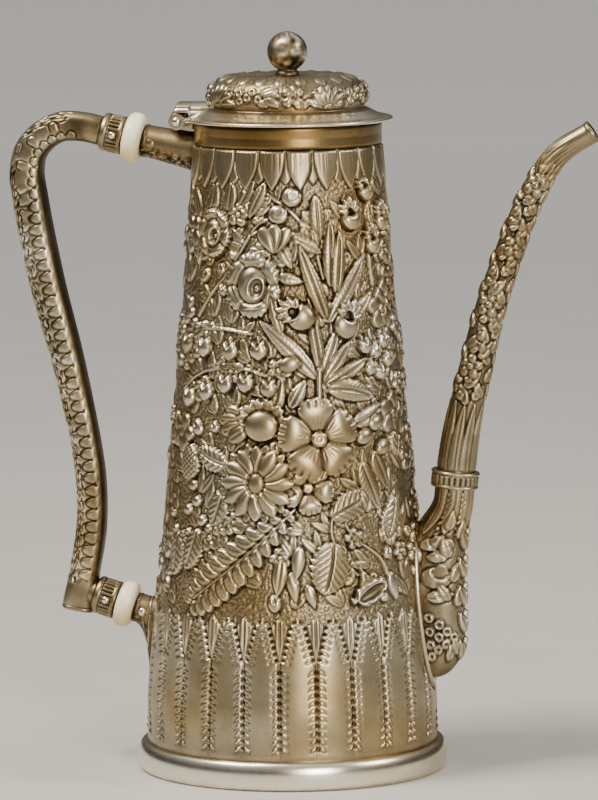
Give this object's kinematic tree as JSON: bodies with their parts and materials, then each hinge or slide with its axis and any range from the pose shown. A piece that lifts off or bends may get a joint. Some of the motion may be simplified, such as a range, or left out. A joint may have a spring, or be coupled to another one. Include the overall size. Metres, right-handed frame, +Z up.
{
  "type": "coffee pot",
  "caption": "Tall tapering silver coffee pot with chased floral relief, hinged domed lid, slim curved spout and an insulated handle.",
  "frame": {"origin": "on the body's axis at the resting plane, in the underside of the base plate", "axes": "+Z up along the body's axis, +X towards the spout, -X towards the handle and the lid hinge"},
  "size_m": [0.1929, 0.101, 0.24],
  "materials": {
    "chased_silver": "repousse and chased sterling silver, warm tarnish with dark recesses and worn bright high points",
    "plain_silver": "plain worked silver with light handling scratches and thin tarnish",
    "toned_silver": "plain silver with a deeper golden brown tarnish",
    "bright_silver": "worn bright silver pin heads",
    "ivory": "old ivory, softly polished, cream with yellower edges and faint grain"
  },
  "bodies": {
    "pot": {"body_wall": "chased_silver", "base_plate": "plain_silver", "foot_ring": "plain_silver", "rim_collar": "toned_silver", "body_hinge_leaf": "plain_silver", "hinge_pin": "bright_silver", "handle_grip": "chased_silver", "grip_end_cap": "chased_silver", "upper_insulator": "ivory", "upper_ferrule": "chased_silver", "upper_ferrule_pin": "bright_silver", "upper_socket": "plain_silver", "upper_socket_pin": "bright_silver", "lower_insulator": "ivory", "lower_ferrule": "chased_silver", "lower_ferrule_pin": "bright_silver", "lower_socket": "plain_silver", "lower_socket_pin": "bright_silver", "spout_base": "chased_silver", "spout_flange": "plain_silver", "spout_ring": "chased_silver", "spout_neck": "chased_silver"},
    "lid": {"lid_cover": "chased_silver", "lid_bezel": "toned_silver", "finial_stem": "chased_silver", "finial_ball": "chased_silver", "finial_nut": "toned_silver", "lid_hinge_leaf": "plain_silver"}
  },
  "joints": [
    {"name": "lid_hinge", "type": "hinge", "parent": "pot", "child": "lid", "pos_m": [-0.0352, 0, 0.211], "axis": [0, -1, 0], "range_deg": [0, 105]}
  ]
}
